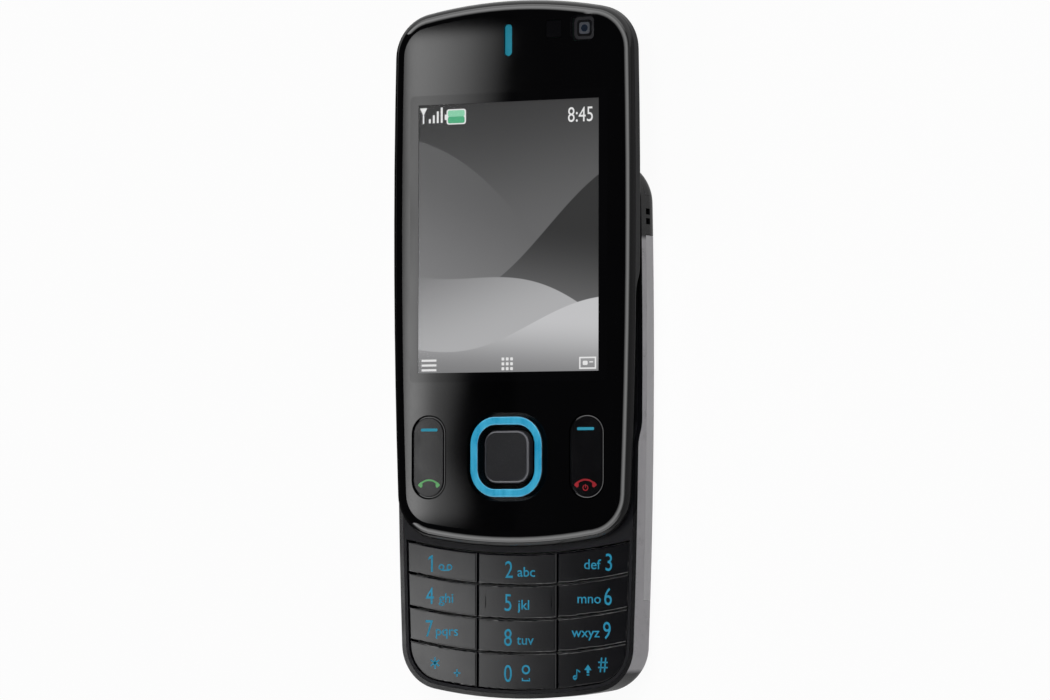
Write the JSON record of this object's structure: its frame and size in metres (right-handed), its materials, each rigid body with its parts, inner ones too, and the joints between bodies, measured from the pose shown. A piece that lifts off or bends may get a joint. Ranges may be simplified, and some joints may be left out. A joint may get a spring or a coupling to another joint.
{
  "type": "slider phone",
  "caption": "Slider phone: a display half with navigation keys slides up over a lower half and uncovers the dial keys.",
  "frame": {"origin": "middle of the open phone's outline, on the plane of its back", "axes": "+X to the right hand side, +Y towards the earpiece, +Z out of the screen"},
  "size_m": [0.0448, 0.1155, 0.0141],
  "materials": {
    "side_metal": "fine satin anodised",
    "gloss_black": "high gloss black",
    "window_glass": "clear window, dark print round the picture",
    "dark_cover": "fine matt grain",
    "rear_paint": "satin metallic paint",
    "key_plastic": "fine grain with blue print",
    "ring_blue": "satin blue",
    "steel": "sheet and wire",
    "board": "solder mask",
    "film": "polyimide film",
    "rubber": "silicone rubber",
    "battery_pack": "sleeved cell",
    "module_black": "moulded"
  },
  "bodies": {
    "base": {"antenna": "module_black", "base_screws": "steel", "battery": "battery_pack", "battery_contacts": "module_black", "battery_cover": "rear_paint", "camera_window": "gloss_black", "charger_socket": "module_black", "flash_leds": "module_black", "housing_screws": "steel", "keypad_board": "board", "keypad_cover": "dark_cover", "keypad_dome_sheet": "film", "keypad_mat": "rubber", "loudspeaker": "module_black", "lower_chassis": "side_metal", "main_board": "board", "main_camera": "module_black", "memory_card_holder": "steel", "microphone": "module_black", "rear_top_cap": "gloss_black", "shield_can": "steel", "sim_holder": "steel", "slide_base": "steel", "slide_flex": "film", "slide_springs": "steel", "usb_socket": "steel", "vibration_motor": "steel"},
    "slider": {"front_cover": "gloss_black", "display_window": "window_glass", "lcd_module": "steel", "display_frame": "steel", "upper_rear_cover": "rear_paint", "slide_plate": "steel", "plate_screws": "steel", "upper_board": "board", "ui_board": "board", "nav_dome_sheet": "film", "earpiece": "module_black", "earpiece_grille": "ring_blue", "front_camera": "module_black", "front_camera_window": "window_glass", "light_sensor_window": "window_glass"},
    "key_1": {"key_1": "key_plastic"},
    "key_2": {"key_2": "key_plastic"},
    "key_3": {"key_3": "key_plastic"},
    "key_4": {"key_4": "key_plastic"},
    "key_5": {"key_5": "key_plastic"},
    "key_6": {"key_6": "key_plastic"},
    "key_7": {"key_7": "key_plastic"},
    "key_8": {"key_8": "key_plastic"},
    "key_9": {"key_9": "key_plastic"},
    "key_star": {"key_star": "key_plastic"},
    "key_0": {"key_0": "key_plastic"},
    "key_hash": {"key_hash": "key_plastic"},
    "nav_ring": {"nav_ring": "ring_blue"},
    "nav_web": {"nav_web": "rubber"},
    "select_key": {"select_key": "key_plastic"},
    "left_rocker_key": {"left_rocker_key": "key_plastic"},
    "right_rocker_key": {"right_rocker_key": "key_plastic"}
  },
  "joints": [
    {"name": "slide", "type": "slide", "parent": "base", "child": "slider", "axis": [0, 1, 0], "range_m": [-0.025, 0], "deforming": ["slide_flex", "slide_springs"]},
    {"name": "key_1_press", "type": "slide", "parent": "base", "child": "key_1", "axis": [0, 0, 1], "range_m": [-0.00025, 0], "stiffness_N_per_m": 1000},
    {"name": "key_2_press", "type": "slide", "parent": "base", "child": "key_2", "axis": [0, 0, 1], "range_m": [-0.00025, 0], "stiffness_N_per_m": 1000},
    {"name": "key_3_press", "type": "slide", "parent": "base", "child": "key_3", "axis": [0, 0, 1], "range_m": [-0.00025, 0], "stiffness_N_per_m": 1000},
    {"name": "key_4_press", "type": "slide", "parent": "base", "child": "key_4", "axis": [0, 0, 1], "range_m": [-0.00025, 0], "stiffness_N_per_m": 1000},
    {"name": "key_5_press", "type": "slide", "parent": "base", "child": "key_5", "axis": [0, 0, 1], "range_m": [-0.00025, 0], "stiffness_N_per_m": 1000},
    {"name": "key_6_press", "type": "slide", "parent": "base", "child": "key_6", "axis": [0, 0, 1], "range_m": [-0.00025, 0], "stiffness_N_per_m": 1000},
    {"name": "key_7_press", "type": "slide", "parent": "base", "child": "key_7", "axis": [0, 0, 1], "range_m": [-0.00025, 0], "stiffness_N_per_m": 1000},
    {"name": "key_8_press", "type": "slide", "parent": "base", "child": "key_8", "axis": [0, 0, 1], "range_m": [-0.00025, 0], "stiffness_N_per_m": 1000},
    {"name": "key_9_press", "type": "slide", "parent": "base", "child": "key_9", "axis": [0, 0, 1], "range_m": [-0.00025, 0], "stiffness_N_per_m": 1000},
    {"name": "key_star_press", "type": "slide", "parent": "base", "child": "key_star", "axis": [0, 0, 1], "range_m": [-0.00025, 0], "stiffness_N_per_m": 1000},
    {"name": "key_0_press", "type": "slide", "parent": "base", "child": "key_0", "axis": [0, 0, 1], "range_m": [-0.00025, 0], "stiffness_N_per_m": 1000},
    {"name": "key_hash_press", "type": "slide", "parent": "base", "child": "key_hash", "axis": [0, 0, 1], "range_m": [-0.00025, 0], "stiffness_N_per_m": 1000},
    {"name": "select_key_press", "type": "slide", "parent": "slider", "child": "select_key", "axis": [0, 0, 1], "range_m": [-0.00025, 0], "stiffness_N_per_m": 1000},
    {"name": "nav_ring_up_down", "type": "hinge", "parent": "slider", "child": "nav_web", "pos_m": [0, -0.0179, 0.01192], "axis": [1, 0, 0], "range_deg": [-2, 2], "stiffness_Nm_per_rad": 0.05},
    {"name": "nav_ring_left_right", "type": "hinge", "parent": "nav_web", "child": "nav_ring", "pos_m": [0, -0.0179, 0.01192], "axis": [0, 1, 0], "range_deg": [-2, 2], "stiffness_Nm_per_rad": 0.05},
    {"name": "left_rocker", "type": "hinge", "parent": "slider", "child": "left_rocker_key", "pos_m": [-0.01465, -0.0179, 0.01192], "axis": [1, 0, 0], "range_deg": [-2.5, 2.5], "stiffness_Nm_per_rad": 0.05},
    {"name": "right_rocker", "type": "hinge", "parent": "slider", "child": "right_rocker_key", "pos_m": [0.01465, -0.0179, 0.01192], "axis": [1, 0, 0], "range_deg": [-2.5, 2.5], "stiffness_Nm_per_rad": 0.05}
  ]
}
